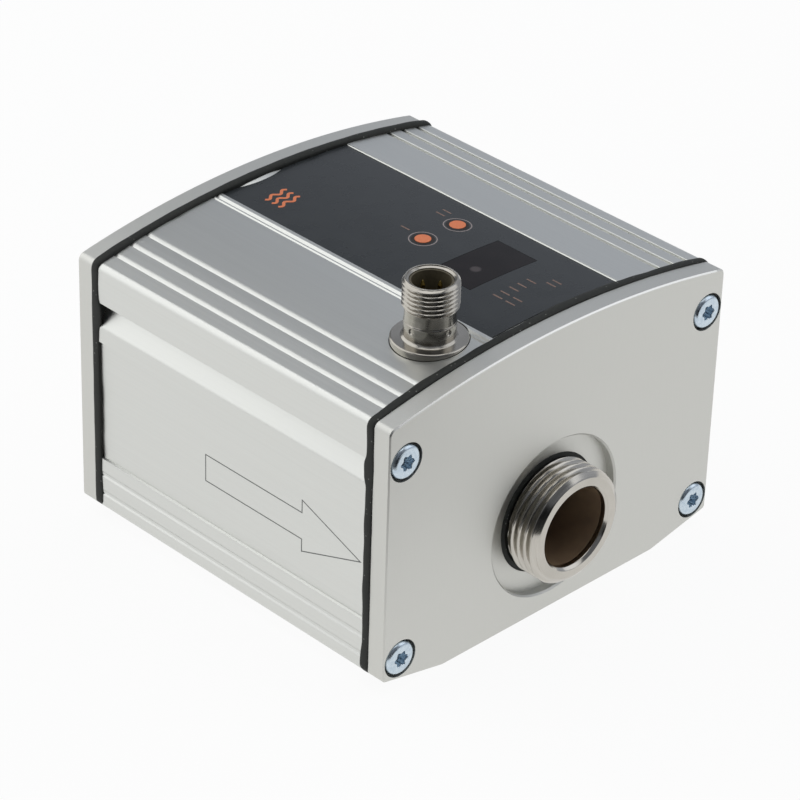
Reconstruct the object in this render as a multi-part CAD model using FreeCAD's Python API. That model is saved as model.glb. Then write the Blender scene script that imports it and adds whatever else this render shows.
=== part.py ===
"""Ultrasonic flow meter: fluted housing, threaded flow path, display panel and plug connector.

Millimetres. X runs along the flow with the outlet at +X, Z is up from the flat base, and the
origin is under the middle of the part.
"""
import FreeCAD, Part
import math
import os

# Housing extrusion
housing_width = 99.0
crown_rise = 5.3
base_flat_width = 64.0
base_corner_height = 3.6
body_length = 82.6
crown_corner_radius = 1.6
base_corner_radius = 1.2
crown_wall = 4.5
side_wall = 3.9
base_wall = 3.6
screw_block_width = 9.0
upper_block_ledge = 1.9
lower_block_rise = 4.45

# Mounting groove along each side, under the upper band
upper_band_height = 8.9
groove_opening = 5.9
groove_depth = 3.2
groove_apex_rise = 4.6
groove_shoulder_radius = 1.2

# Recessed side panels and flutes
panel_bottom = 16.2
panel_top_drop = 3.8
panel_recess = 0.5
flute_floor = 0.1
flute_depth = 0.75
flute_wall_angle = 58.0
flute_lip_radius = 0.1
crown_flute_insets = (14.65, 10.15, 5.65)
side_flutes = (11.55, 6.85)

# Crown seat of the panel film, on one side of the connector
film_left = -14.35
film_right = 22.8
film_seat_depth = 0.6
film_thickness = 0.25
film_edge_gap = 0.1
film_inlet_margin = 2.4
film_outlet_margin = 1.0
film_strip = 0.85
film_edge_bevel = 0.2
film_flute_floor = 0.1
film_flute_depth = 0.55
hair_flute_spacing = 1.35
hair_flute_floor = 0.1
hair_flute_depth = 0.25

# Display opening, window and keys on the crown
window_length = 11.5
window_width = 20.0
window_x = 18.3
window_y = 6.15
window_thickness = 1.6
window_ledge = 1.0
window_gap = 0.1
key_x = 2.1
key_spots = {"mode": 14.4, "set": 4.0}
key_diameter = 3.6
key_clearance = 0.15
key_collar_diameter = 5.6
key_collar_height = 1.15
key_proud = 0.12
key_travel = 0.4

# End plates, gaskets and plate screws
plate_thickness = 4.5
plate_edge_chamfer = 0.3
gasket_thickness = 2.0
recess_land = 5.05
recess_depth = 2.2
recess_edge_chamfer = 0.4
fitting_hole_gap = 0.68
screw_edge_wall = 0.35
screw_base_wall = 0.73
screw_groove_rise = 0.1
screw_diameter = 4.0
screw_grip_length = 14.0
screw_head_diameter = 7.8
screw_head_height = 3.1
screw_head_proud = 0.4
screw_head_round = 0.8
screw_head_gap = 0.5
screw_gap = 0.1
plate_hole_gap = 0.25

# Flow path
thread_diameter = 26.44
thread_chamfer_length = 1.0
thread_chamfer_depth = 1.6
thread_start_gap = 0.5
thread_relief_depth = 1.22
bore_diameter = 18.4
bore_end_chamfer = 0.7
stub_length = 6.6
collar_thickness = 5.3
collar_overlap = 3.6
collar_floor_gap = 2.0
nose_wall = 0.75
nose_gap = 0.05
mouth_lip_length = 1.9
spigot_wall = 3.8
spigot_length = 5.0
spigot_gap = 0.05
tube_socket_wall = 2.95
collar_seal_gap = 0.05
collar_seal_crest = 0.3
joint_seal_section = 1.6
seal_facets = 12
seal_gap = 0.02
seal_groove_side_gap = 0.3

# Transducers, aimed along a V-shaped path that mirrors at the bottom of the bore
port_end_gap = 19.6
transducer_nose_diameter = 8.0
transducer_nose_length = 2.5
transducer_head_diameter = 10.8
transducer_head_length = 3.0
transducer_bore_margin = 0.3
transducer_seal_thickness = 1.0
retainer_length = 3.0
retainer_hole_diameter = 3.2
port_gap = 0.2
boss_wall = 2.4
lead_diameter = 1.6
lead_exit_run = 2.0
lead_bend_radius = 4.0

# Boards in their guide slots, and what stands on them
board_thickness = 1.6
slot_depth = 1.2
slot_gap = 0.05
main_board_clearance = 2.25
main_board_end_gap = 2.3
board_spacing = 9.0
display_board_rear = -24.0
display_board_front_margin = 3.45
notch_margin = 11.5
header_length = 22.0
header_width = 5.0
header_x = -14.0
header_block_gap = 7.5
processor_size = 14.0
processor_height = 1.6
processor_y = -17.0
converter_length = 10.0
converter_width = 12.0
converter_height = 3.2
converter_x = 13.0
capacitor_diameter = 6.3
capacitor_height = 5.8
capacitor_spacing = 7.0
capacitor_end_margin = 4.0
capacitor_block_margin = 10.5
module_gap = 0.2
switch_size = 6.0
switch_height = 2.0
plunger_diameter = 3.4
plunger_depth = 1.2
plunger_stand = 0.5
plunger_gap = 0.1

# Plug connector
connector_height = 15.8
connector_seat_drop = 1.57
connector_seat_gap = 0.15
connector_film_gap = 0.3
connector_end_gap = 1.35
connector_thread_diameter = 12.0
connector_thread_length = 6.7
connector_thread_chamfer = 0.5
shank_step = 0.62
band_step = 0.5
band_height = 3.6
flange_overhang = 2.2
flange_height = 1.9
flange_chamfer = 0.25
hub_height = 0.5
stub_depth = 5.1
stub_gap = 0.05
connector_seal_height = 0.4
connector_seal_gap = 0.15
socket_wall = 1.4
socket_depth = 9.4
insert_lip = 0.7
insert_lip_height = 2.0
insert_gap = 0.05
insert_sleeve_wall = 0.4
insert_sleeve_drop = 0.7
pin_diameter = 1.0
pin_circle_diameter = 5.0
pin_count = 4
pin_below_rim = 1.8
pin_tail = 1.5
pin_point_length = 0.9
pin_point_diameter = 0.3
pin_hole_gap = 0.03
wrench_dimple_diameter = 1.1
wrench_dimple_depth = 0.5
wrench_dimple_drop = 1.3

# Length by which a cutting tool runs past the surface it opens
cut_margin = 1.0

# Lengthwise places
half_width = housing_width / 2
half_body = body_length / 2
through_x = half_body + cut_margin
foot_y = base_flat_width / 2
block_y = half_width - screw_block_width
plate_inner_x = half_body + gasket_thickness
plate_outer_x = plate_inner_x + plate_thickness
fitting_end_x = plate_outer_x + stub_length
collar_inner_x = plate_inner_x - collar_thickness
recess_floor_x = plate_outer_x - recess_depth
screw_seat_x = plate_outer_x + screw_head_proud - screw_head_height

# Flow path, from the thread and the bore outwards
fitting_hole_diameter = thread_diameter + 2 * fitting_hole_gap
recess_diameter = fitting_hole_diameter + 2 * recess_land
collar_diameter = fitting_hole_diameter + 2 * collar_overlap
relief_diameter = thread_diameter - 2 * thread_relief_depth
nose_diameter = bore_diameter + 2 * nose_wall
nose_end_x = fitting_end_x - mouth_lip_length
spigot_diameter = bore_diameter + 2 * spigot_wall
tube_diameter = spigot_diameter + 2 * (spigot_gap + tube_socket_wall)
pipe_axis_height = base_wall + collar_floor_gap + collar_diameter / 2

# Distances along the sound beam, from its mirror point to the top of a transducer's boss
beam_tilt = math.atan2(bore_diameter, collar_inner_x - port_end_gap)
nose_drop = transducer_nose_diameter / 2 * math.cos(beam_tilt)
beam_face = (bore_diameter + transducer_bore_margin + nose_drop) / math.sin(beam_tilt)
beam_seat = beam_face + transducer_nose_length
beam_head = beam_seat + transducer_seal_thickness
beam_rear = beam_head + transducer_head_length
beam_top = beam_rear + retainer_length
mirror_height = pipe_axis_height - bore_diameter / 2
port_diameter = transducer_head_diameter + 2 * port_gap
boss_diameter = port_diameter + 2 * boss_wall
boss_reach = boss_diameter / 2 * math.cos(beam_tilt)
boss_top_height = mirror_height + beam_top * math.sin(beam_tilt) + boss_reach

# Stack of boards and keys on top of the bosses, which sets the height of the crown
main_board_height = boss_top_height + main_board_clearance
main_board_top = main_board_height + board_thickness
main_board_half = half_body - main_board_end_gap
display_board_height = main_board_height + board_spacing
display_board_top = display_board_height + board_thickness
switch_top = display_board_top + switch_height
key_bottom = switch_top + plunger_stand
key_collar_top = key_bottom + key_collar_height
crown_radius = (half_width ** 2 + crown_rise ** 2) / (2 * crown_rise)
far_collar_y = max(abs(y) for y in key_spots.values()) + key_collar_diameter / 2
inner_arc_rise = math.sqrt((crown_radius - crown_wall) ** 2 - far_collar_y ** 2)
crown_centre_height = key_collar_top + key_clearance - inner_arc_rise
crown_apex = crown_centre_height + crown_radius
side_height = crown_apex - crown_rise
film_top_drop = film_seat_depth - film_thickness

# Heights on the sides, hung from the crown's edge
groove_upper_lip = side_height - upper_band_height
groove_lower_lip = groove_upper_lip - groove_opening
panel_top = groove_lower_lip - panel_top_drop
upper_block_underside = groove_lower_lip - upper_block_ledge

# Plate screws, clear of the base, the edges and the side groove
counterbore_diameter = screw_head_diameter + 2 * screw_head_gap
screw_y = half_width - counterbore_diameter / 2 - screw_edge_wall
base_rise = base_corner_height / (half_width - foot_y)
screw_base_height = base_rise * (screw_y - foot_y)
lower_screw_height = screw_base_height + counterbore_diameter / 2 + screw_base_wall
upper_screw_height = groove_upper_lip + screw_groove_rise
lower_block_top = lower_screw_height + lower_block_rise
screw_places = [(side * screw_y, height)
                for side in (-1, 1) for height in (lower_screw_height, upper_screw_height)]

# Connector, beside the film and near the outlet end
flange_diameter = connector_thread_diameter + 2 * flange_overhang
connector_seat_diameter = flange_diameter + 2 * connector_seat_gap
socket_diameter = connector_thread_diameter - 2 * socket_wall
connector_x = half_body - connector_end_gap - connector_seat_diameter / 2
connector_y = film_left - connector_film_gap - connector_seat_diameter / 2
connector_crown = crown_centre_height + math.sqrt(crown_radius ** 2 - connector_y ** 2)
connector_seat = connector_crown - connector_seat_drop
connector_top = connector_seat + connector_height
flange_bottom = connector_seat + connector_seal_height
flange_top = flange_bottom + flange_height
hub_top = flange_top + hub_height
band_top = hub_top + band_height
stub_foot = flange_bottom - stub_depth
insert_bottom = stub_foot + insert_lip_height
insert_top = connector_top - socket_depth
pin_bottom = insert_bottom - pin_tail
pin_top = connector_top - pin_below_rim

X_AXIS = FreeCAD.Vector(1, 0, 0)
Z_AXIS = FreeCAD.Vector(0, 0, 1)


def crown_height(y, drop=0.0):
    """Height of the crown at y, on the arc that lies drop below it."""
    return crown_centre_height + math.sqrt((crown_radius - drop) ** 2 - y ** 2)


def section(y, z):
    return FreeCAD.Vector(0, y, z)


def prism(edges, x_start, x_end):
    """Solid with a closed outline in the YZ plane, from x_start to x_end."""
    face = Part.Face(Part.Wire(edges))
    face.translate(FreeCAD.Vector(x_start, 0, 0))
    return face.extrude(FreeCAD.Vector(x_end - x_start, 0, 0))


def polygon_edges(points):
    """Straight edges through (y, z) points, left open."""
    spots = [section(*point) for point in points]
    return [Part.makeLine(a, b) for a, b in zip(spots, spots[1:])]


def arc_edge(start, middle, end):
    return Part.Arc(section(*start), section(*middle), section(*end)).toShape()


def crown_edge(y_start, y_end, drop=0.0):
    """Arc that follows the crown from y_start to y_end."""
    spots = [(y, crown_height(y, drop)) for y in (y_start, (y_start + y_end) / 2, y_end)]
    return arc_edge(*spots)


def crown_slab(y_range, x_range, top_drop, bottom_drop):
    """Curved slab between two arcs parallel to the crown."""
    left, right = y_range
    sides = [((right, crown_height(right, top_drop)), (right, crown_height(right, bottom_drop))),
             ((left, crown_height(left, bottom_drop)), (left, crown_height(left, top_drop)))]
    edges = [crown_edge(left, right, top_drop)] + polygon_edges(sides[0])
    edges += [crown_edge(right, left, bottom_drop)] + polygon_edges(sides[1])
    return prism(edges, *x_range)


def long_edges(solid, y, z):
    """Edges of a prism that run along X through the outline corner (y, z)."""
    found = []
    for edge in solid.Edges:
        spot = edge.CenterOfMass
        if abs(spot.y - y) < 1e-3 and abs(spot.z - z) < 1e-3:
            found.append(edge)
    return found


def rod(diameter, start, end):
    """Cylinder between two points."""
    along = end - start
    return Part.makeCylinder(diameter / 2, along.Length, start, along)


def turned(profile, centre, axis, radial):
    """Solid turned from (along, radius) points about an axis."""
    spots = [centre + axis * along + radial * radius for along, radius in profile]
    return Part.Face(Part.makePolygon(spots + spots[:1])).revolve(centre, axis, 360)


def box(x_range, y_range, z_range):
    low = FreeCAD.Vector(x_range[0], y_range[0], z_range[0])
    return Part.makeBox(x_range[1] - x_range[0], y_range[1] - y_range[0], z_range[1] - z_range[0], low)


def seal_ring(section_diameter, mean_diameter, centre):
    """Seal ring round the pipe axis, with a many-sided section."""
    turns = [2 * math.pi * (i + 0.5) / seal_facets for i in range(seal_facets)]
    section_radius = section_diameter / 2
    profile = [(section_radius * math.sin(turn), mean_diameter / 2 + section_radius * math.cos(turn))
               for turn in turns]
    return turned(profile, centre, X_AXIS, Z_AXIS)


def cut_all(solid, tools):
    return solid.cut(tools).removeSplitter()


def outline(x_start, x_end):
    """Block with the housing's outer outline: arched crown, bevelled base corners."""
    edges = polygon_edges([(-half_width, side_height), (-half_width, base_corner_height), (-foot_y, 0),
                           (foot_y, 0), (half_width, base_corner_height), (half_width, side_height)])
    edges.append(crown_edge(half_width, -half_width))
    block = prism(edges, x_start, x_end)
    for radius, height in ((crown_corner_radius, side_height), (base_corner_radius, base_corner_height)):
        corners = long_edges(block, -half_width, height) + long_edges(block, half_width, height)
        block = block.makeFillet(radius, corners)
    return block


def cavity(x_start, x_end):
    """Space inside the housing, with screw blocks left standing in its four corners."""
    wall_y = half_width - side_wall
    floor_rise = base_rise * (block_y - foot_y)
    right = [(foot_y, base_wall), (block_y, base_wall + floor_rise), (block_y, lower_block_top),
             (wall_y, lower_block_top), (wall_y, upper_block_underside), (block_y, upper_block_underside),
             (block_y, crown_height(block_y, crown_wall))]
    left = [(-y, z) for y, z in reversed(right)]
    edges = polygon_edges(left + right) + [crown_edge(block_y, -block_y, crown_wall)]
    return prism(edges, x_start, x_end)


def flute_cutter(edge, inward, outward, floor, depth):
    """Groove with a wall that leans up to its edge, a flat floor and, across it, a rounded lip.

    edge is the point on the skin where the wall ends, inward runs across the groove towards
    that edge and outward leaves the skin.
    """
    lean = depth * math.tan(math.radians(flute_wall_angle))
    lip = edge - inward * (floor + lean)
    radius = flute_lip_radius

    def spot(across, out):
        return lip + inward * across + outward * out

    turn = radius * math.sqrt(0.5)
    rounding = Part.Arc(spot(-radius, 0), spot(-radius + turn, -radius + turn), spot(0, -radius))
    straight = [spot(0, -radius), spot(0, -depth), spot(floor, -depth), edge, edge + outward * radius,
                spot(-radius, radius), spot(-radius, 0)]
    edges = [rounding.toShape()] + [Part.makeLine(a, b) for a, b in zip(straight, straight[1:])]
    return prism(edges, -through_x, through_x)


def crown_flute(y, floor, depth):
    """Flute along the crown whose wall ends at y, on the side nearer the middle."""
    side = math.copysign(1, y)
    slope = y / math.sqrt(crown_radius ** 2 - y ** 2)
    outward = section(slope, 1).normalize()
    inward = section(-side * outward.z, side * outward.y)
    return flute_cutter(section(y, crown_height(y)), inward, outward, floor, depth)


def side_groove(side):
    """V-shaped mounting groove with a rounded lower shoulder."""
    apex_z = groove_lower_lip + groove_apex_rise
    clear_y = half_width + cut_margin
    points = [(clear_y, groove_upper_lip), (half_width, groove_upper_lip),
              (half_width - groove_depth, apex_z), (half_width, groove_lower_lip),
              (clear_y, groove_lower_lip), (clear_y, groove_upper_lip)]
    return prism(polygon_edges([(side * y, z) for y, z in points]), -through_x, through_x)


def guide_slot(bottom, side):
    """Slot in a screw block that a board's long edge slides into."""
    inner = side * (block_y - cut_margin)
    outer = side * (block_y + slot_depth)
    return box((-through_x, through_x), sorted((inner, outer)),
               (bottom - slot_gap, bottom + board_thickness + slot_gap))


def window_opening():
    """Stepped opening in the crown: a seat for the window and a throat for the display."""
    grow = window_gap
    x_range = (window_x - window_length / 2 - grow, window_x + window_length / 2 + grow)
    y_range = (window_y - window_width / 2 - grow, window_y + window_width / 2 + grow)
    seat = crown_slab(y_range, x_range, -cut_margin, film_top_drop + window_thickness)
    throat_x = (window_x - window_length / 2 + window_ledge, window_x + window_length / 2 - window_ledge)
    throat_y = (window_y - window_width / 2 + window_ledge, window_y + window_width / 2 - window_ledge)
    throat = box(throat_x, throat_y, (crown_apex - 2 * crown_wall, crown_apex + cut_margin))
    return seat.fuse(throat)


def film_seat():
    """Shallow seat of the film: bevelled on one edge, with a wide and a hair flute beside the other."""
    seat = crown_slab((film_left, film_right), (-through_x, through_x), -cut_margin, film_seat_depth)
    bevel_y = film_right + film_edge_bevel
    corners = [(film_right, crown_height(film_right, film_seat_depth)), (bevel_y, crown_height(bevel_y)),
               (bevel_y, crown_apex), (film_right, crown_apex)]
    bevel = prism(polygon_edges(corners + corners[:1]), -through_x, through_x)
    wide_y = film_left - film_strip
    hair_y = wide_y - hair_flute_spacing
    wide = crown_flute(wide_y, film_flute_floor, film_flute_depth)
    hair = crown_flute(hair_y, hair_flute_floor, hair_flute_depth)
    return [seat, bevel, wide, hair]


def connector_centre(height):
    return FreeCAD.Vector(connector_x, connector_y, height)


def key_centre(y, height):
    return FreeCAD.Vector(key_x, y, height)


def housing_extrusion():
    """Hollow profile with flutes, side grooves, board slots, screw holes and the crown's openings."""
    body = outline(-half_body, half_body)
    for side in (-1, 1):
        body = body.cut(side_groove(side))
        shoulder = long_edges(body, side * half_width, groove_lower_lip)
        body = body.makeFillet(groove_shoulder_radius, shoulder)
    tools = [cavity(-through_x, through_x), window_opening()]
    for side in (-1, 1):
        depth_range = sorted((side * (half_width - panel_recess), side * (half_width + cut_margin)))
        tools.append(box((-through_x, through_x), depth_range, (panel_bottom, panel_top)))
        for inset in crown_flute_insets:
            flute_y = side * (half_width - inset)
            tools.append(crown_flute(flute_y, flute_floor, flute_depth))
        for z in side_flutes:
            edge = section(side * half_width, z)
            outward = section(side, 0)
            tools.append(flute_cutter(edge, -Z_AXIS, outward, flute_floor, flute_depth))
        tools += [guide_slot(bottom, side) for bottom in (main_board_height, display_board_height)]
    tools += film_seat()
    for y, z in screw_places:
        hole = screw_diameter + 2 * screw_gap
        tools.append(rod(hole, FreeCAD.Vector(-through_x, y, z), FreeCAD.Vector(through_x, y, z)))
    for y in key_spots.values():
        hole = key_diameter + 2 * key_clearance
        tools.append(rod(hole, key_centre(y, crown_apex - 2 * crown_wall), key_centre(y, crown_apex)))
    stub_hole = connector_thread_diameter + 2 * stub_gap
    tools.append(rod(stub_hole, connector_centre(connector_seat - 2 * crown_wall),
                     connector_centre(crown_apex)))
    tools.append(rod(connector_seat_diameter, connector_centre(connector_seat),
                     connector_centre(crown_apex + cut_margin)))
    return cut_all(body, tools)


def end_plate(side):
    """Plate with a round recess for the fitting and four counterbored screw holes."""
    plate = outline(*sorted((side * plate_inner_x, side * plate_outer_x)))
    outer = [face for face in plate.Faces if abs(face.CenterOfMass.x - side * plate_outer_x) < 1e-6]
    plate = plate.makeChamfer(plate_edge_chamfer, outer[0].Edges)
    axis = FreeCAD.Vector(side, 0, 0)
    centre = FreeCAD.Vector(0, 0, pipe_axis_height)
    radius = recess_diameter / 2
    wall = radius - recess_edge_chamfer
    edge_x = plate_outer_x - recess_edge_chamfer
    hole_radius = fitting_hole_diameter / 2
    back_x = plate_inner_x - cut_margin
    front_x = plate_outer_x + cut_margin
    opening = [(back_x, 0), (back_x, hole_radius), (recess_floor_x, hole_radius),
               (recess_floor_x, wall), (edge_x, wall), (plate_outer_x, radius),
               (front_x, radius), (front_x, 0)]
    tools = [turned(opening, centre, axis, Z_AXIS)]
    for y, z in screw_places:
        seat = FreeCAD.Vector(side * screw_seat_x, y, z)
        tools.append(rod(screw_diameter + 2 * plate_hole_gap, seat - axis * plate_thickness, seat))
        tools.append(rod(counterbore_diameter, seat, seat + axis * plate_thickness))
    return cut_all(plate, tools)


def gasket(side):
    """Flat seal with the housing's outline, open over the cavity and at the screws."""
    x_range = sorted((side * half_body, side * plate_inner_x))
    through = (x_range[0] - cut_margin, x_range[1] + cut_margin)
    tools = [cavity(*through)]
    for y, z in screw_places:
        ends = [FreeCAD.Vector(x, y, z) for x in through]
        tools.append(rod(screw_diameter + 2 * plate_hole_gap, *ends))
    return cut_all(outline(*x_range), tools)


def plate_screws(side):
    """Four pan-head screws, seated in the plate's counterbores."""
    axis = FreeCAD.Vector(side, 0, 0)
    head = screw_head_diameter / 2
    shank = screw_diameter / 2
    profile = [(-screw_grip_length, 0), (-screw_grip_length, shank), (0, shank), (0, head),
               (screw_head_height - screw_head_round, head),
               (screw_head_height, head - screw_head_round), (screw_head_height, 0)]
    places = [FreeCAD.Vector(side * screw_seat_x, y, z) for y, z in screw_places]
    return Part.makeCompound([turned(profile, place, axis, Z_AXIS) for place in places])


def joint_groove():
    """Place of the seal groove on the spigot: its two ends and its floor radius."""
    middle = collar_inner_x - spigot_length / 2
    half_groove = joint_seal_section / 2 + seal_groove_side_gap
    return middle - half_groove, middle + half_groove, spigot_diameter / 2 + spigot_gap - joint_seal_section


def fitting(side):
    """Turned process fitting: threaded stub with its relief, collar behind the plate, tube spigot."""
    bore = bore_diameter / 2
    nose_hole = nose_diameter / 2 + nose_gap
    thread = thread_diameter / 2
    relief = relief_diameter / 2
    thread_start = recess_floor_x + thread_start_gap
    collar = collar_diameter / 2
    spigot = spigot_diameter / 2
    spigot_end = collar_inner_x - spigot_length
    groove_start, groove_end, groove_floor = joint_groove()
    profile = [(spigot_end, nose_hole), (spigot_end, spigot), (groove_start, spigot),
               (groove_start, groove_floor), (groove_end, groove_floor), (groove_end, spigot),
               (collar_inner_x, spigot), (collar_inner_x, collar), (plate_inner_x, collar),
               (plate_inner_x, relief), (thread_start, relief),
               (thread_start, thread), (fitting_end_x - thread_chamfer_length, thread),
               (fitting_end_x, thread - thread_chamfer_depth),
               (fitting_end_x, bore + bore_end_chamfer), (fitting_end_x - bore_end_chamfer, bore),
               (nose_end_x, bore), (nose_end_x, nose_hole)]
    return turned(profile, FreeCAD.Vector(0, 0, pipe_axis_height), FreeCAD.Vector(side, 0, 0), Z_AXIS)


def pipe_point(x):
    return FreeCAD.Vector(x, 0, pipe_axis_height)


def collar_seal(side):
    """Moulded ring that fills the gap between the fitting's relief and the plate, up to the recess."""
    inner = relief_diameter / 2 + collar_seal_gap
    outer = fitting_hole_diameter / 2 - collar_seal_gap
    middle = (inner + outer) / 2
    profile = [(plate_inner_x, inner), (plate_inner_x, outer), (recess_floor_x, outer),
               (recess_floor_x + collar_seal_crest, middle), (recess_floor_x, inner)]
    return turned(profile, pipe_point(0), FreeCAD.Vector(side, 0, 0), Z_AXIS)


def joint_seals():
    """Seal rings on the two spigots, inside the measuring tube's sockets."""
    middle = collar_inner_x - spigot_length / 2
    mean = spigot_diameter + 2 * spigot_gap - joint_seal_section
    rings = [seal_ring(joint_seal_section - 2 * seal_gap, mean, pipe_point(side * middle))
             for side in (-1, 1)]
    return Part.makeCompound(rings)


def beam_point(side, distance):
    """Point on the sound beam, that far from its mirror point at the bottom of the bore."""
    along = FreeCAD.Vector(side * math.cos(beam_tilt), 0, math.sin(beam_tilt))
    return FreeCAD.Vector(0, 0, mirror_height) + along * distance


def measuring_tube():
    """Moulded tube with two slanted transducer bosses, and at each end a socket round a thin nose."""
    centre_run = bore_diameter / 2 / math.sin(beam_tilt)
    socket_floor_x = collar_inner_x - spigot_length
    tube = rod(tube_diameter, pipe_point(-collar_inner_x), pipe_point(collar_inner_x))
    tools = []
    for side in (-1, 1):
        axis_point = beam_point(side, centre_run)
        boss_top = beam_point(side, beam_top)
        tube = tube.fuse(rod(boss_diameter, axis_point, boss_top))
        socket = spigot_diameter + 2 * spigot_gap
        tools.append(rod(socket, pipe_point(side * socket_floor_x), pipe_point(side * plate_outer_x)))
        tools.append(rod(transducer_nose_diameter + 2 * port_gap, axis_point, boss_top))
        tools.append(rod(port_diameter, beam_point(side, beam_seat),
                         beam_point(side, beam_top + boss_diameter)))
    tube = tube.cut(tools)
    for side in (-1, 1):
        tube = tube.fuse(rod(nose_diameter, pipe_point(side * socket_floor_x), pipe_point(side * nose_end_x)))
    return cut_all(tube, [rod(bore_diameter, pipe_point(-fitting_end_x), pipe_point(fitting_end_x))])


def transducer(side):
    """Piezo head: nose facing the bore and a shoulder that the retainer holds on its seal."""
    nose = rod(transducer_nose_diameter, beam_point(side, beam_face), beam_point(side, beam_rear))
    shoulder = rod(transducer_head_diameter, beam_point(side, beam_head), beam_point(side, beam_rear))
    return nose.fuse(shoulder)


def transducer_seals():
    inner = transducer_nose_diameter + 2 * port_gap
    seals = []
    for side in (-1, 1):
        ends = beam_point(side, beam_seat), beam_point(side, beam_head)
        disc = rod(transducer_head_diameter, *ends)
        seals.append(disc.cut(rod(inner, *ends)))
    return Part.makeCompound(seals)


def transducer_retainer(side):
    """Ring that screws into the boss behind the transducer, with a hole for its lead."""
    ends = beam_point(side, beam_rear), beam_point(side, beam_top)
    disc = rod(transducer_head_diameter + port_gap, *ends)
    return disc.cut(rod(retainer_hole_diameter, *ends))


def transducer_lead(side):
    """Cable from the back of a transducer, bending upright to the main board's underside."""
    start = beam_point(side, beam_rear)
    bend = beam_point(side, beam_top + lead_exit_run)
    turn = math.pi / 2 - beam_tilt
    inward = FreeCAD.Vector(-side * math.sin(beam_tilt), 0, math.cos(beam_tilt))
    centre = bend + inward * lead_bend_radius

    def on_bend(angle):
        out = FreeCAD.Vector(side * math.cos(angle), 0, math.sin(angle))
        return centre + out * lead_bend_radius

    upright = on_bend(0)
    finish = FreeCAD.Vector(upright.x, 0, main_board_height)
    path = Part.Wire([Part.makeLine(start, bend),
                      Part.Arc(bend, on_bend(-turn / 2), upright).toShape(),
                      Part.makeLine(upright, finish)])
    along = (bend - start).normalize()
    disc = Part.Wire([Part.makeCircle(lead_diameter / 2, start, along)])
    return path.makePipeShell([disc], True, True)


def board_half_width():
    return block_y + slot_depth - slot_gap


def main_board():
    reach = board_half_width()
    return box((-main_board_half, main_board_half), (-reach, reach), (main_board_height, main_board_top))


def main_board_parts():
    """Larger components on the main board: processor, converter and two capacitors."""
    half_chip = processor_size / 2
    chip = box((-half_chip, half_chip), (processor_y - half_chip, processor_y + half_chip),
               (main_board_top, main_board_top + processor_height))
    half_length = converter_length / 2
    half_breadth = converter_width / 2
    converter = box((converter_x - half_length, converter_x + half_length), (-half_breadth, half_breadth),
                    (main_board_top, main_board_top + converter_height))
    cans = []
    for i in range(2):
        x = capacitor_end_margin - main_board_half + i * capacitor_spacing
        base = FreeCAD.Vector(x, capacitor_block_margin - block_y, main_board_top)
        cans.append(rod(capacitor_diameter, base, base + Z_AXIS * capacitor_height))
    return Part.makeCompound([chip, converter] + cans)


def display_board():
    """Board under the crown, notched where the connector reaches into the housing."""
    front = window_x + window_length / 2 + display_board_front_margin
    board = box((display_board_rear, front), (-board_half_width(), board_half_width()),
                (display_board_height, display_board_top))
    notch = box((connector_x - notch_margin, front + cut_margin), (-half_width, connector_y + notch_margin),
                (display_board_height - cut_margin, display_board_top + cut_margin))
    return board.cut(notch)


def board_header():
    x_range = (header_x - header_width / 2, header_x + header_width / 2)
    header_end = block_y - header_block_gap
    y_range = (header_end - header_length, header_end)
    return box(x_range, y_range, (main_board_top, display_board_height))


def display_module():
    """Digit display that stands on its board and fills the throat of the crown's opening."""
    half_x = window_length / 2 - window_ledge - module_gap
    half_y = window_width / 2 - window_ledge - module_gap
    far_y = abs(window_y) + window_width / 2
    top = crown_height(far_y, film_top_drop + window_thickness) - module_gap
    return box((window_x - half_x, window_x + half_x), (window_y - half_y, window_y + half_y),
               (display_board_top, top))


def display_window():
    """Smoked window, flush with the film and curved with the crown."""
    x_range = (window_x - window_length / 2, window_x + window_length / 2)
    y_range = (window_y - window_width / 2, window_y + window_width / 2)
    return crown_slab(y_range, x_range, film_top_drop, film_top_drop + window_thickness)


def panel_film():
    """Printed film in its crown seat, open at the window and the keys."""
    x_range = (film_inlet_margin - half_body, half_body - film_outlet_margin)
    y_range = (film_left + film_edge_gap, film_right - film_edge_gap)
    film = crown_slab(y_range, x_range, film_top_drop, film_seat_depth)
    tools = [window_opening()]
    hole = key_diameter + 2 * key_clearance
    tools += [rod(hole, key_centre(y, side_height), key_centre(y, crown_apex)) for y in key_spots.values()]
    return film.cut(tools)


def key(y):
    """Key that stands a little proud of the film, held by a collar under the crown."""
    top = crown_height(y, film_top_drop) + key_proud
    stem = rod(key_diameter, key_centre(y, key_bottom), key_centre(y, top))
    return stem.fuse(rod(key_collar_diameter, key_centre(y, key_bottom), key_centre(y, key_collar_top)))


def switch_body(y):
    """Switch on the display board, with a well for its plunger."""
    half = switch_size / 2
    block = box((key_x - half, key_x + half), (y - half, y + half), (display_board_top, switch_top))
    return block.cut(rod(plunger_diameter + 2 * plunger_gap,
                         key_centre(y, switch_top - plunger_depth - key_travel), key_centre(y, switch_top)))


def switch_plunger(y):
    foot = switch_top - plunger_depth + plunger_gap
    return rod(plunger_diameter, key_centre(y, foot), key_centre(y, key_bottom))


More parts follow.
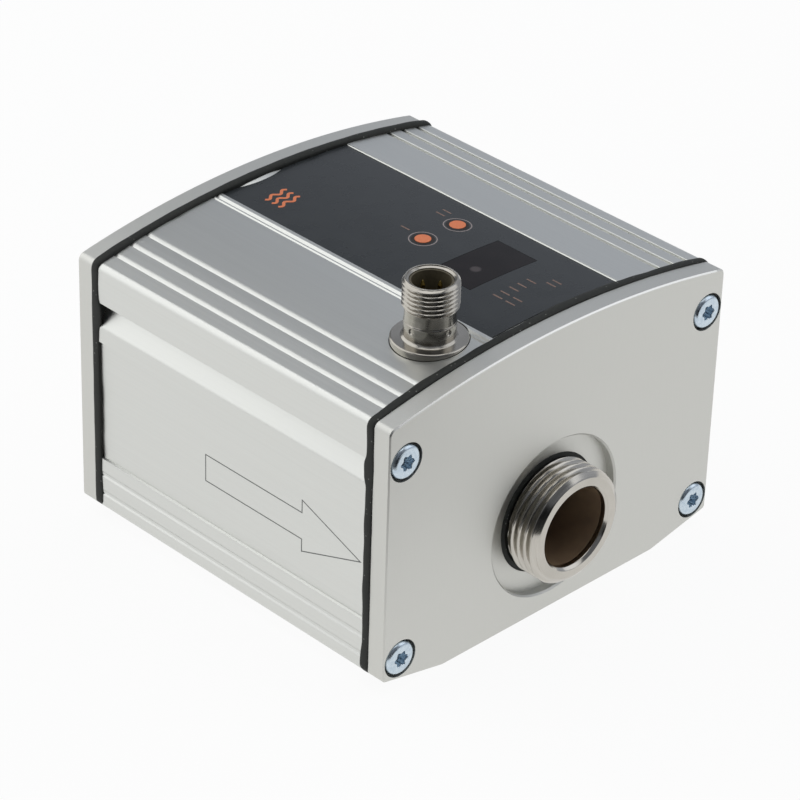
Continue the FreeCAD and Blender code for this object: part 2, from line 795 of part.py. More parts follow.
def connector_shell():
    """Turned shell: threaded top, shank, wrench band with two dimples, flange and lower stub."""
    thread = connector_thread_diameter / 2
    thread_start = connector_top - connector_thread_length
    thread_root = thread - connector_thread_chamfer
    shank = thread - shank_step
    band = thread - band_step
    flange = flange_diameter / 2
    socket = socket_diameter / 2
    lip = socket - insert_lip
    profile = [(stub_foot, lip), (stub_foot, thread), (flange_bottom, thread), (flange_bottom, flange),
               (flange_top - flange_chamfer, flange), (flange_top, flange - flange_chamfer),
               (flange_top, band + hub_height), (hub_top, band), (band_top - flange_chamfer, band),
               (band_top, shank), (thread_start, shank), (thread_start, thread_root),
               (thread_start + connector_thread_chamfer, thread),
               (connector_top - connector_thread_chamfer, thread), (connector_top, thread_root),
               (connector_top, socket), (insert_bottom, socket), (insert_bottom, lip)]
    shell = turned(profile, connector_centre(0), Z_AXIS, X_AXIS)
    middle = connector_centre(band_top - wrench_dimple_drop)
    dimples = []
    for out in (X_AXIS, FreeCAD.Vector(0, -1, 0)):
        dimples.append(rod(wrench_dimple_diameter, middle + out * (band - wrench_dimple_depth),
                           middle + out * (band + cut_margin)))
    return cut_all(shell, dimples)


def pin_places():
    spread = pin_circle_diameter / 2
    turns = [2 * math.pi * i / pin_count for i in range(pin_count)]
    return [(connector_x + spread * math.cos(turn), connector_y + spread * math.sin(turn))
            for turn in turns]


def connector_insert():
    """Insulating cup in the shell: a floor bored for the pins and a thin sleeve up the socket."""
    outer = socket_diameter / 2 - insert_gap
    inner = outer - insert_sleeve_wall
    sleeve_top = connector_top - insert_sleeve_drop
    profile = [(insert_bottom, 0), (insert_bottom, outer), (sleeve_top, outer), (sleeve_top, inner),
               (insert_top, inner), (insert_top, 0)]
    cup = turned(profile, connector_centre(0), Z_AXIS, X_AXIS)
    hole = pin_diameter + 2 * pin_hole_gap
    holes = [rod(hole, FreeCAD.Vector(x, y, insert_bottom), FreeCAD.Vector(x, y, insert_top))
             for x, y in pin_places()]
    return cup.cut(holes)


def connector_pins():
    """Contact pins with tapered points."""
    radius = pin_diameter / 2
    profile = [(pin_bottom, 0), (pin_bottom, radius), (pin_top - pin_point_length, radius),
               (pin_top, pin_point_diameter / 2), (pin_top, 0)]
    return Part.makeCompound([turned(profile, FreeCAD.Vector(x, y, 0), Z_AXIS, X_AXIS)
                              for x, y in pin_places()])


def connector_leads():
    """Straight wires from the pins' tails down to the main board."""
    wires = [rod(pin_diameter, FreeCAD.Vector(x, y, main_board_top), FreeCAD.Vector(x, y, pin_bottom))
             for x, y in pin_places()]
    return Part.makeCompound(wires)


def connector_seal():
    """Flat ring under the flange, round the stub."""
    ends = connector_centre(connector_seat), connector_centre(flange_bottom)
    disc = rod(flange_diameter - 2 * flange_chamfer, *ends)
    return disc.cut(rod(connector_thread_diameter + 2 * connector_seal_gap, *ends))


parts = {
    "housing_extrusion": housing_extrusion(),
    "measuring_tube": measuring_tube(),
    "tube_joint_seals": joint_seals(),
    "transducer_seals": transducer_seals(),
    "main_board": main_board(),
    "main_board_parts": main_board_parts(),
    "display_board": display_board(),
    "board_header": board_header(),
    "display_module": display_module(),
    "display_window": display_window(),
    "panel_film": panel_film(),
    "connector_shell": connector_shell(),
    "connector_insert": connector_insert(),
    "connector_pins": connector_pins(),
    "connector_leads": connector_leads(),
    "connector_seal": connector_seal(),
}
for end, side in (("inlet", -1), ("outlet", 1)):
    parts[end + "_end_plate"] = end_plate(side)
    parts[end + "_gasket"] = gasket(side)
    parts[end + "_plate_screws"] = plate_screws(side)
    parts[end + "_fitting"] = fitting(side)
    parts[end + "_collar_seal"] = collar_seal(side)
    parts[end + "_transducer"] = transducer(side)
    parts[end + "_retainer"] = transducer_retainer(side)
    parts[end + "_transducer_lead"] = transducer_lead(side)
for name, y in key_spots.items():
    parts[name + "_key"] = key(y)
    parts[name + "_switch_body"] = switch_body(y)
    parts[name + "_switch_plunger"] = switch_plunger(y)

os.makedirs("parts", exist_ok=True)
for name, shape in sorted(parts.items()):
    shape.exportStep(os.path.join("parts", name + ".step"))
    print(name, len(shape.Solids), "solids", round(shape.Volume, 1), "mm3", shape.isValid())
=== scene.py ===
# %% [markdown]
# # An ultrasonic flow meter, dressed for its picture
# The meter measures how fast a liquid runs through its pipe. A fluted aluminium extrusion holds
# the pipe and the electronics, two end plates close it on rubber gaskets, and a round plug
# connector stands on the crown beside a dark panel with two keys. The solids arrive at their real
# size and place, in metres, with X along the flow and Z up. This lesson gives them their finishes,
# and adds what is too fine for the solids: threads, screw recesses, squeezed rubber, bright edges
# and print.

# %% Load the solids
import bmesh
import bpy
import numpy as np
from mathutils import Matrix, Vector


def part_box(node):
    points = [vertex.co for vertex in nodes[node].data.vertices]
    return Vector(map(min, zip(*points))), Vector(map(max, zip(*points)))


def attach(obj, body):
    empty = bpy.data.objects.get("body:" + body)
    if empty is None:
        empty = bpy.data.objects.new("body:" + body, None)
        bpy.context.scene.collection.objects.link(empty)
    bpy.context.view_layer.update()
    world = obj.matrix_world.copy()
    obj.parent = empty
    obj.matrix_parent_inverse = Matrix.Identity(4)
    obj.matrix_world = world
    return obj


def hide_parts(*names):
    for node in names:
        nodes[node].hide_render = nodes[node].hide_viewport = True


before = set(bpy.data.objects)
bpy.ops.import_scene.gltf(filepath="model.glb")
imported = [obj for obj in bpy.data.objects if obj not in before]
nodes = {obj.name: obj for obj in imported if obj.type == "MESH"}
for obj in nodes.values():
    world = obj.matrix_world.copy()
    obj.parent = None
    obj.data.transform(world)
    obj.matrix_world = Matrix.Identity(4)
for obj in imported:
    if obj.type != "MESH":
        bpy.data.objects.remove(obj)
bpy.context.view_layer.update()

MM = 0.001

# %% [markdown]
# ## Places taken from the solids
# Every new piece sits on a solid, so its place is read from that solid's box rather than typed
# again. Working in millimetres keeps the numbers readable; they become metres when a mesh is made.


# %% Measure the solids
def box_mm(node):
    """Lowest and highest corner of a solid, as two arrays in millimetres."""
    low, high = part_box(node)
    return np.array(low) / MM, np.array(high) / MM


plate_face = box_mm("outlet_end_plate")[1][0]
gasket_low, gasket_high = box_mm("outlet_gasket")
fitting_low, fitting_high = box_mm("outlet_fitting")
shell_low, shell_high = box_mm("connector_shell")
film_low, film_high = box_mm("panel_film")
housing_low, housing_high = box_mm("housing_extrusion")
half_width = housing_high[1]
crown_rise = 5.3
crown_radius = (half_width ** 2 + crown_rise ** 2) / (2 * crown_rise)
crown_apex = gasket_high[2]
side_height = crown_apex - crown_rise
film_drop = crown_apex - film_high[2]
pipe_height = (fitting_low[2] + fitting_high[2]) / 2


def crown_height(y, drop=0.0):
    """Height of the arched crown at y: the circle's centre height plus the leg of a right triangle."""
    return crown_apex - crown_radius + np.sqrt((crown_radius - drop) ** 2 - y ** 2)


print("crown radius", round(crown_radius, 1), "mm, pipe axis at", round(pipe_height, 2), "mm")

# %% [markdown]
# ## Camera
# The photograph looks down on the outlet corner through a long lens. A camera is a position, a
# point to look at and a small roll about that line. Building its axes as vectors is easier to check
# than three angles: one axis looks back from the target, one points right and one up.


# %% Aim the camera
camera_place = np.array([470.7, -471.03, 438.76])
camera_target = np.array([6.38, -5.63, 35.0])
camera_roll = np.radians(1.81)

forward = (camera_target - camera_place) / np.linalg.norm(camera_target - camera_place)
level_right = np.cross(forward, [0, 0, 1])
level_right /= np.linalg.norm(level_right)
level_up = np.cross(level_right, forward)
right = np.cos(camera_roll) * level_right + np.sin(camera_roll) * level_up
up = np.cos(camera_roll) * level_up - np.sin(camera_roll) * level_right

lens = bpy.data.cameras.new("photo_camera")
lens.sensor_width = 36.0
lens.lens = 161.62
camera = bpy.data.objects.new("photo_camera", lens)
bpy.context.scene.collection.objects.link(camera)
turn = Matrix(np.column_stack([right, up, -forward]).tolist()).to_4x4()
camera.matrix_world = Matrix.Translation(Vector(camera_place * MM)) @ turn
bpy.context.scene.camera = camera
print("camera", round(float(np.linalg.norm(camera_target - camera_place))), "mm from its target")

# %% [markdown]
# ## Colours and nodes
# Colours are written as sRGB hex values, the way a picture stores them, but a renderer adds light
# in linear values, so one function converts them. A second function adds a node: it sets the
# node's own settings, then gives each input a value or a link.


# %% Colour and node helpers
def linear(hex_colour):
    """sRGB hex to linear RGBA, by the standard curve on each channel."""
    channels = np.array([int(hex_colour[i:i + 2], 16) for i in (1, 3, 5)]) / 255
    curve = np.where(channels <= 0.04045, channels / 12.92, ((channels + 0.055) / 1.055) ** 2.4)
    return (*curve.tolist(), 1.0)


def add_node(tree, kind, inputs=None, **settings):
    """Adds one shader node; an input is given a number or colour, or is linked to an output."""
    node = tree.nodes.new("ShaderNode" + kind)
    for name, value in settings.items():
        setattr(node, name, value)
    for name, value in (inputs or {}).items():
        if isinstance(value, bpy.types.NodeSocket):
            tree.links.new(value, node.inputs[name])
        else:
            node.inputs[name].default_value = value
    return node


print("white is", linear("#FFFFFF"), "and mid grey", round(linear("#808080")[0], 3))

# %% [markdown]
# ## Floor, sky and lamps
# The meter stands on a seamless white sweep. For what the camera sees directly or in metal, the
# floor is part white emission and part lit white, so it stays white and still takes the meter's
# soft shadow. The sky is a bluish grey, paler on the far side, because the crown mirrors it. Satin
# metal shows its lamps as patches, so the light on the long side is a window as large as a door and
# no brighter than white paper. An overhead lamp lights the dark panel and the floor from where no
# large face mirrors it, and a weak lamp beyond the far outlet corner draws the white line on the
# plates' arched edges. Two cloths stand for the dark room round the photographer, a tall grey one
# behind the camera and a low black one beside it: only mirror rays see them, and they draw the dark
# bands on the pipe and the connector.


# %% Mesh helpers
def mesh_object(name, points, faces):
    """Object at the origin whose mesh has these points (mm) and faces."""
    mesh = bpy.data.meshes.new(name)
    places = np.asarray(points).reshape(-1, 3) * MM
    mesh.from_pydata(places.tolist(), [], np.asarray(faces).tolist())
    mesh.update()
    made = bpy.data.objects.new(name, mesh)
    bpy.context.scene.collection.objects.link(made)
    return made


def grid_faces(rows, columns, wrap_rows, wrap_columns):
    """Quads between neighbouring grid points; a wrapped direction also joins its last to its first."""
    row = np.arange(rows if wrap_rows else rows - 1)[:, None]
    column = np.arange(columns if wrap_columns else columns - 1)[None, :]
    next_row, next_column = (row + 1) % rows, (column + 1) % columns
    quad = [row * columns + column, row * columns + next_column,
            next_row * columns + next_column, next_row * columns + column]
    return np.stack(quad, axis=-1).reshape(-1, 4)


print("a grid of 3 by 4 points has", len(grid_faces(3, 4, False, False)), "faces")

# %% White floor
floor_reach = 3000.0
floor_drop = 0.02
camera_share = 0.93
mirror_share = 0.82
corners = np.array([[-1, -1], [1, -1], [1, 1], [-1, 1]]) * floor_reach
floor = mesh_object("floor", np.column_stack([corners, np.full(4, -floor_drop)]), [[0, 1, 2, 3]])

paper = bpy.data.materials.new("white_paper_sweep")
paper.use_nodes = True
tree = paper.node_tree
tree.nodes.clear()
lit = add_node(tree, "BsdfDiffuse", {"Color": linear("#F4F4F2")})
glow = add_node(tree, "Emission", {"Color": linear("#FFFFFF"), "Strength": 1.0})
rays = add_node(tree, "LightPath").outputs
mirror_ray = add_node(tree, "Math", {0: rays["Is Glossy Ray"], 1: rays["Is Transmission Ray"]},
                      operation="MAXIMUM")
mirror_glow = add_node(tree, "Math", {0: mirror_ray.outputs[0], 1: mirror_share}, operation="MULTIPLY")
glow_share = add_node(tree, "Math", {0: rays["Is Camera Ray"], 1: camera_share,
                                     2: mirror_glow.outputs[0]}, operation="MULTIPLY_ADD")
mixed = add_node(tree, "MixShader", {0: glow_share.outputs[0], 1: lit.outputs[0], 2: glow.outputs[0]})
add_node(tree, "OutputMaterial", {"Surface": mixed.outputs[0]})
floor.data.materials.append(paper)
print("floor", 2 * floor_reach / 1000, "m square")

# %% Sky
near_level = 0.18
far_level = 0.51
sky_turn = (0.34, 0.58)
sky = bpy.data.worlds.new("studio_sky")
bpy.context.scene.world = sky
sky.use_nodes = True
tree = sky.node_tree
tree.nodes.clear()
direction = add_node(tree, "TexCoord").outputs["Generated"]
across = add_node(tree, "SeparateXYZ", {0: direction}).outputs["Y"]
level = add_node(tree, "MapRange", {"Value": across, "From Min": sky_turn[0], "From Max": sky_turn[1],
                                    "To Min": near_level, "To Max": far_level},
                 interpolation_type="SMOOTHSTEP")
light = add_node(tree, "Background", {"Color": linear("#EDF3FF"), "Strength": level.outputs[0]})
add_node(tree, "OutputWorld", {"Surface": light.outputs[0]})
print("sky from", near_level, "on the near side to", far_level, "on the far side")


# %% Lamps
def soft_lamp(name, place, width, height, watts, colour):
    """Rectangular area lamp at place (mm) that faces the middle of the meter."""
    lamp = bpy.data.lights.new(name, "AREA")
    lamp.shape = "RECTANGLE"
    lamp.size = width * MM
    lamp.size_y = height * MM
    lamp.energy = watts
    lamp.color = linear(colour)[:3]
    made = bpy.data.objects.new(name, lamp)
    bpy.context.scene.collection.objects.link(made)
    made.visible_camera = False
    aim = (Vector(camera_target) - Vector(place)).to_track_quat("-Z", "Y")
    made.matrix_world = Matrix.Translation(Vector(place) * MM) @ aim.to_matrix().to_4x4()
    print(name, watts, "W")


soft_lamp("window_lamp", (-676.0, -422.0, 517.0), 1190.0, 1100.0, 4.9, "#FCFCFB")
soft_lamp("overhead_lamp", (0.0, 0.0, 1300.0), 1300.0, 1300.0, 6.2, "#FFFFFF")
soft_lamp("edge_lamp", (500.0, 575.0, 570.0), 700.0, 700.0, 1.1, "#FFFFFF")

# %% Dark cloths
# Each cloth has its first and last bearing in degrees, its start, reach and height in mm, and a colour.
cloths = {"behind_cloth": (-78, -33, 150.0, 1100.0, 900.0, "#626260"),
          "front_cloth": (-33, 9, 140.0, 1100.0, 210.0, "#0B0B0B")}
cloth_columns = 33
cloth_lift = 1.0
felt_roughness = 0.95
for name, (first, last, start, reach, top, colour) in cloths.items():
    bearing = np.radians(np.linspace(first, last, cloth_columns))
    profile = np.array([(start, cloth_lift), (reach, cloth_lift), (reach, top)])
    outward = np.stack([np.cos(bearing), np.sin(bearing)], axis=-1)
    rise = np.broadcast_to(profile[:, None, 1:], (len(profile), cloth_columns, 1))
    grid = np.concatenate([profile[:, None, :1] * outward, rise], axis=-1)
    cloth = mesh_object(name, grid, grid_faces(len(profile), cloth_columns, False, False))
    for kind in ("camera", "diffuse", "shadow", "transmission"):
        setattr(cloth, "visible_" + kind, False)
    felt = bpy.data.materials.new(name.replace("cloth", "felt"))
    felt.use_nodes = True
    shader = felt.node_tree.nodes["Principled BSDF"]
    shader.inputs["Base Color"].default_value = linear(colour)
    shader.inputs["Roughness"].default_value = felt_roughness
    cloth.data.materials.append(felt)
print(len(cloths), "dark cloths")

# %% [markdown]
# ## A finish and its grain
# No real surface is one flat colour. Each finish here starts from a shader and one noise whose
# cells have a real size in millimetres along X, Y and Z. The noise swings the colour and the
# roughness between two ends and lifts the surface a few thousandths of a millimetre, so the same
# function gives die lines on an extrusion, brushing on a plate or the skin of moulded rubber.

# %% Shared start of a finish
noise_span = (0.3, 0.7)
noise_detail = 3.0


def finish(name, colours, metallic, roughness, cell, lift):
    """Principled shader driven by one stretched noise in Object coordinates.

    colours and roughness hold the two ends of the swing, cell is the noise's size in mm along
    X, Y and Z, and lift is the height of the relief in mm.
    """
    made = bpy.data.materials.new(name)
    made.use_nodes = True
    tree = made.node_tree
    shader = tree.nodes["Principled BSDF"]
    where = add_node(tree, "TexCoord").outputs["Object"]
    scaled = add_node(tree, "Mapping", {"Vector": where, "Scale": [1 / (c * MM) for c in cell]})
    noise = add_node(tree, "TexNoise", {"Vector": scaled.outputs[0], "Scale": 1.0,
                                        "Detail": noise_detail})
    swing = add_node(tree, "MapRange", {"Value": noise.outputs["Fac"], "From Min": noise_span[0],
                                        "From Max": noise_span[1]})
    tint = add_node(tree, "Mix", {0: swing.outputs[0], 6: linear(colours[0]), 7: linear(colours[1])},
                    data_type="RGBA")
    rough = add_node(tree, "MapRange", {"Value": swing.outputs[0], "To Min": roughness[0],
                                        "To Max": roughness[1]})
    relief = add_node(tree, "Bump", {"Height": noise.outputs["Fac"], "Distance": lift * MM})
    tree.links.new(tint.outputs[2], shader.inputs["Base Color"])
    tree.links.new(rough.outputs[0], shader.inputs["Roughness"])
    tree.links.new(relief.outputs[0], shader.inputs["Normal"])
    shader.inputs["Metallic"].default_value = metallic
    return made, tree, shader, where, tint


def put_on(material, *names):
    """Gives the named solids this one material."""
    for name in names:
        mesh = nodes[name].data
        mesh.materials.clear()
        mesh.materials.append(material)
    print(material.name, "on", len(names), "solids")


print("a finish swings where its noise runs from", noise_span[0], "to", noise_span[1])

# %% [markdown]
# ## Aluminium
# The housing is pressed through a die, so faint lines run along it, then it is anodised to an even
# satin. The plates are sawn from sheet and finished with a finer grain that runs upright. Both are
# pure metal to the eye: their grey comes from what they mirror. Real die lines and brushing are too
# fine for the picture, so both are drawn as coarse as they need to be to show.

# %% Anodised extrusion
extrusion, *_ = finish("anodised_aluminium_extrusion", ("#D9DAD6", "#DCDDD9"), 1.0, (0.36, 0.39),
                       (80.0, 0.6, 0.6), 0.0003)
put_on(extrusion, "housing_extrusion")

# %% Satin end plates
plate_metal, *_ = finish("satin_aluminium_plate", ("#D6D6D1", "#D8D8D3"), 1.0, (0.46, 0.5),
                         (0.5, 0.5, 3.0), 0.0002)
put_on(plate_metal, "inlet_end_plate", "outlet_end_plate")

# %% [markdown]
# ## Rubber
# The gaskets and seal rings are black nitrile rubber, moulded and cut: dull, nearly black, with a
# fine uneven skin that holds a few specks of dust. A cell pattern gives the specks: each lies at the
# middle of a cell, where the distance to it is shortest.

# %% Black rubber
speck_cell = 1.6
speck_edge = (0.06, 0.12)
speck_cover = 0.75
rubber, tree, shader, where, tint = finish("black_nitrile_rubber", ("#232422", "#31332F"), 0.0,
                                           (0.55, 0.7), (0.7, 0.7, 0.7), 0.02)
shader.inputs["Specular IOR Level"].default_value = 0.3
specks = add_node(tree, "TexVoronoi", {"Vector": where, "Scale": 1 / (speck_cell * MM)})
dust = add_node(tree, "MapRange", {"Value": specks.outputs["Distance"], "From Min": speck_edge[0],
                                   "From Max": speck_edge[1], "To Min": speck_cover, "To Max": 0.0})
dusted = add_node(tree, "Mix", {0: dust.outputs[0], 6: tint.outputs[2], 7: linear("#8E908A")},
                  data_type="RGBA")
tree.links.new(dusted.outputs[2], shader.inputs["Base Color"])
put_on(rubber, "inlet_gasket", "outlet_gasket", "connector_seal", "tube_joint_seals",
       "transducer_seals", "inlet_collar_seal", "outlet_collar_seal")

# %% [markdown]
# ## Turned metals
# The pipe fittings are turned stainless steel and the connector shell is nickel-plated brass. A
# lathe leaves rings round the axis, so the noise is squeezed along the axis and stretched across it.
# The plate screws are steel with a bluish zinc coat.

# %% Stainless, nickel and zinc
stainless, *_ = finish("turned_stainless_steel", ("#BBB7AF", "#C8C4BC"), 1.0, (0.13, 0.2),
                       (0.35, 9.0, 9.0), 0.0012)
put_on(stainless, "inlet_fitting", "outlet_fitting")
nickel, *_ = finish("nickel_plated_brass", ("#A5A199", "#B5B1A9"), 1.0, (0.16, 0.24),
                    (6.0, 6.0, 0.3), 0.0012)
put_on(nickel, "connector_shell")
zinc, *_ = finish("blue_zinc_plated_steel", ("#BCCBD8", "#D6E2EA"), 1.0, (0.20, 0.32),
                  (0.8, 0.8, 0.8), 0.004)
put_on(zinc, "inlet_plate_screws", "outlet_plate_screws")

# %% [markdown]
# ## Panel film, window and keys
# The film is charcoal polyester with a faint satin skin. The window is smoked acrylic: it looks
# almost black because little light comes back out of it, with one paler patch where the display
# behind it shows. The keys are orange moulded plastic.

# %% Charcoal film
film, tree, shader, where, tint = finish("charcoal_polyester_film", ("#313436", "#36393B"), 0.0,
                                         (0.25, 0.31), (5.0, 5.0, 5.0), 0.002)
shader.inputs["Specular IOR Level"].default_value = 0.3
put_on(film, "panel_film")

# %% Smoked window
patch_place = Vector((18.7, 3.2, film_high[2])) * MM
patch_radius = 1.4
patch_core = 0.6 * patch_radius
patch_cover = 0.8
window, tree, shader, where, tint = finish("smoked_acrylic", ("#191617", "#1F1B1C"), 0.0,
                                           (0.10, 0.16), (4.0, 4.0, 4.0), 0.001)
shader.inputs["Specular IOR Level"].default_value = 0.15
distance = add_node(tree, "VectorMath", {0: where, 1: patch_place}, operation="DISTANCE")
glimpse = add_node(tree, "MapRange", {"Value": distance.outputs["Value"], "From Min": patch_core * MM,
                                      "From Max": patch_radius * MM, "To Min": patch_cover, "To Max": 0.0})
behind = add_node(tree, "Mix", {0: glimpse.outputs[0], 6: tint.outputs[2], 7: linear("#524C4D")},
                  data_type="RGBA")
tree.links.new(behind.outputs[2], shader.inputs["Base Color"])
put_on(window, "display_window")

# %% Orange keys
orange, *_ = finish("orange_moulded_plastic", ("#DE7A4E", "#E68658"), 0.0, (0.38, 0.50),
                    (0.5, 0.5, 0.5), 0.006)
put_on(orange, "mode_key", "set_key")

# %% [markdown]
# ## Inside
# Some of this shows through the bore and the socket, and the rest appears when the model is taken
# apart: the amber moulded tube, pins, boards and leads. A table holds what differs between them, in
# the order that a finish takes it, with the solids that wear it at the end.

# %% Inner finishes
inner_finishes = {
    "amber_moulded_plastic": (("#7F6A56", "#8D775E"), 0.0, (0.28, 0.40), (3.0, 3.0, 3.0), 0.004,
                              ["measuring_tube"]),
    "dark_olive_polyamide": (("#565040", "#635C4A"), 0.0, (0.42, 0.55), (0.6, 0.6, 0.6), 0.005,
                             ["connector_insert"]),
    "black_glass_filled_plastic": (("#1D1A17", "#26221E"), 0.0, (0.45, 0.6), (0.5, 0.5, 0.5), 0.008,
                                   ["board_header", "main_board_parts", "display_module",
                                    "mode_switch_body", "set_switch_body",
                                    "mode_switch_plunger", "set_switch_plunger"]),
    "gold_plated_contact": (("#A89452", "#B8A466"), 1.0, (0.2, 0.28), (1.0, 1.0, 1.0), 0.001,
                            ["connector_pins"]),
    "green_circuit_board": (("#1C4A2C", "#265C38"), 0.0, (0.3, 0.42), (1.5, 1.5, 1.5), 0.006,
                            ["main_board", "display_board"]),
    "red_lead_insulation": (("#A3261E", "#B5322A"), 0.0, (0.4, 0.5), (1.0, 1.0, 1.0), 0.004,
                            ["connector_leads", "inlet_transducer_lead", "outlet_transducer_lead"]),
    "turned_brass": (("#B08D4A", "#C29F5A"), 1.0, (0.22, 0.3), (0.6, 6.0, 6.0), 0.001,
                     ["inlet_retainer", "outlet_retainer"]),
    "beige_transducer_plastic": (("#B9A67E", "#C4B28C"), 0.0, (0.4, 0.5), (1.0, 1.0, 1.0), 0.004,
                                 ["inlet_transducer", "outlet_transducer"]),
}
for name, (*look, solids) in inner_finishes.items():
    put_on(finish(name, *look)[0], *solids)

# %% [markdown]
# ## Surfaces as grids
# Every new piece below is a grid of points: rows along one parameter, columns along the other.
# Numpy works out all points at once, and neighbouring points become faces. A profile with slightly
# softened corners catches a thin highlight on each edge, as machined metal does.

# %% Grid helpers
weld_distance = 1e-4


def grid_object(name, grids, wrap_rows=True, wrap_columns=True, crease=35.0):
    """One object from a list of equal grids (rows, columns, 3) in mm, smooth except at sharp edges.

    Doubled points are merged, so a row drawn at one point closes as a pole, and the open
    four-sided ends of strips and bars are filled.
    """
    rows, columns = grids[0].shape[:2]
    faces = grid_faces(rows, columns, wrap_rows, wrap_columns)
    every = np.concatenate([faces + i * rows * columns for i in range(len(grids))])
    made = mesh_object(name, np.stack(grids), every)
    shape = bmesh.new()
    shape.from_mesh(made.data)
    bmesh.ops.remove_doubles(shape, verts=shape.verts, dist=weld_distance * MM)
    bmesh.ops.holes_fill(shape, edges=shape.edges, sides=4)
    bmesh.ops.recalc_face_normals(shape, faces=shape.faces)
    shape.to_mesh(made.data)
    shape.free()
    made.data.shade_smooth()
    made.data.set_sharp_from_angle(angle=np.radians(crease))
    return made


def dress(piece, material, body, slot, *replaced):
    """Gives a new piece its finish and the body it rides on, and hides the solids it replaces; slot is not
    used.
    """
    piece.data.materials.append(material)
    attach(piece, body)
    if replaced:
        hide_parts(*replaced)
    print(piece.name, len(piece.data.polygons), "faces")


print("points nearer than", weld_distance, "mm become one")


# %% Profile helpers
def softened(corners, radius, steps=4):
    """Closed path with each corner replaced by a small curve that joins its two sides at radius."""
    spots = np.asarray(corners, float)
    before, after = np.roll(spots, 1, axis=0) - spots, np.roll(spots, -1, axis=0) - spots
    reach = [np.linalg.norm(side, axis=1, keepdims=True) for side in (before, after)]
    start = spots + before / reach[0] * np.minimum(radius, reach[0] / 2)
    end = spots + after / reach[1] * np.minimum(radius, reach[1] / 2)
    t = np.linspace(0, 1, steps)[None, :, None]
    curve = (1 - t) ** 2 * start[:, None] + 2 * t * (1 - t) * spots[:, None] + t ** 2 * end[:, None]
    return curve.reshape(-1, 2)


def refined(path, step, low, high, least_radius):
    """Closed (along, radius) path with extra points every step where it runs between low and high."""
    loop = np.vstack([path, path[:1]])
    length = np.concatenate([[0], np.cumsum(np.linalg.norm(np.diff(loop, axis=0), axis=1))])
    extra = np.arange(0, length[-1], step)
    along, radius = (np.interp(extra, length, loop[:, i]) for i in (0, 1))
    extra = extra[(along > low) & (along < high) & (radius > least_radius)]
    every = np.union1d(length[:-1], extra)
    return np.column_stack([np.interp(every, length, loop[:, i]) for i in (0, 1)])


def ramp(value, start, length):
    """Straight rise from 0 at start to 1 a length further on, and level outside; it may run backwards."""
    return np.clip((value - start) / length, 0, 1)


def smooth(t):
    """S-curve from 0 to 1: three times t squared less two times t cubed."""
    return t ** 2 * (3 - 2 * t)


print("half way up a ramp the S-curve is at", smooth(ramp(0.5, 0.0, 1.0)))

# %% Thread form
thread_flat = 0.08
thread_round = 0.4


def thread_form(turns):
    """Thread height from 0 to 1 over one turn: a triangle wave with its crest and root rounded off."""
    wave = 1 - np.abs(2 * (turns % 1.0) - 1)
    flat = np.clip((1 + 2 * thread_flat) * wave - thread_flat, 0, 1)
    return (1 - thread_round) * flat + thread_round * smooth(flat)


print("thread height a quarter turn up", round(float(thread_form(0.25)), 3))

# %% [markdown]
# ## Pipe fittings
# The stub is a G 3/4 pipe thread, right-handed, 14 turns to the inch. A lathe cuts it as a helix
# into a turned blank, so the surface is the smaller of two radii at every point: the blank's
# profile, and the helix. That gives the run-out at the relief and the cut crest at the chamfer
# without drawing either. The inlet is the outlet turned half round, not mirrored, because a mirror
# would make its thread left-handed.

# %% Blank of a fitting
thread_radius = 13.22
thread_start = 46.1
thread_lead = 0.6
thread_chamfer = (1.0, 1.6)
relief_radius = 12.0
bore_radius = 9.2
bore_chamfer = 0.7
spigot_radius = 13.0
spigot_length = 5.0
nose_hole = (10.0, 1.9)
joint_groove = (1.4, 3.6, 11.45)
fitting_end = fitting_high[0]
spigot_end = fitting_low[0]
collar_face = gasket_high[0]
collar_radius = (fitting_high[2] - fitting_low[2]) / 2


def fitting_profile():
    """Closed (along, radius) outline of the blank, from the bore round the outside and back."""
    collar_back = spigot_end + spigot_length
    groove_start, groove_end, groove_floor = joint_groove
    nose_radius, lip_length = nose_hole
    return [(spigot_end, nose_radius), (spigot_end, spigot_radius),
            (spigot_end + groove_start, spigot_radius), (spigot_end + groove_start, groove_floor),
            (spigot_end + groove_end, groove_floor), (spigot_end + groove_end, spigot_radius),
            (collar_back, spigot_radius), (collar_back, collar_radius),
            (collar_face, collar_radius), (collar_face, relief_radius),
            (thread_start, relief_radius), (thread_start + thread_lead, thread_radius),
            (fitting_end - thread_chamfer[0], thread_radius),
            (fitting_end, thread_radius - thread_chamfer[1]),
            (fitting_end, bore_radius + bore_chamfer), (fitting_end - bore_chamfer, bore_radius),
            (fitting_end - lip_length, bore_radius), (fitting_end - lip_length, nose_radius)]


print("blank with", len(fitting_profile()), "corners,", round(fitting_end - spigot_end, 2), "mm long")

# %% Threaded fittings
pipe_pitch = 25.4 / 14
pipe_thread_depth = 1.162
pipe_thread_rows = 22
thread_phase = 0.55
turned_edge = 0.16


def fitting_grid(side, columns=192):
    """Blank's profile carried round the pipe axis, cut back to the helix where the thread runs."""
    path = softened(fitting_profile(), turned_edge)
    path = refined(path, pipe_pitch / pipe_thread_rows, thread_start, fitting_end, relief_radius)
    along, blank = path[:, :1], path[:, 1:]
    angle = np.linspace(0, 2 * np.pi, columns, endpoint=False)[None, :]
    turns = (along - thread_start) / pipe_pitch + thread_phase - angle / (2 * np.pi)
    helix = thread_radius - pipe_thread_depth * (1 - thread_form(turns))
    threaded = (along >= thread_start) & (blank > relief_radius)
    radius = np.where(threaded, np.minimum(blank, np.maximum(helix, relief_radius)), blank)
    x = side * np.broadcast_to(along, radius.shape)
    y = -side * radius * np.cos(angle)
    return np.stack([x, y, pipe_height + radius * np.sin(angle)], axis=-1)


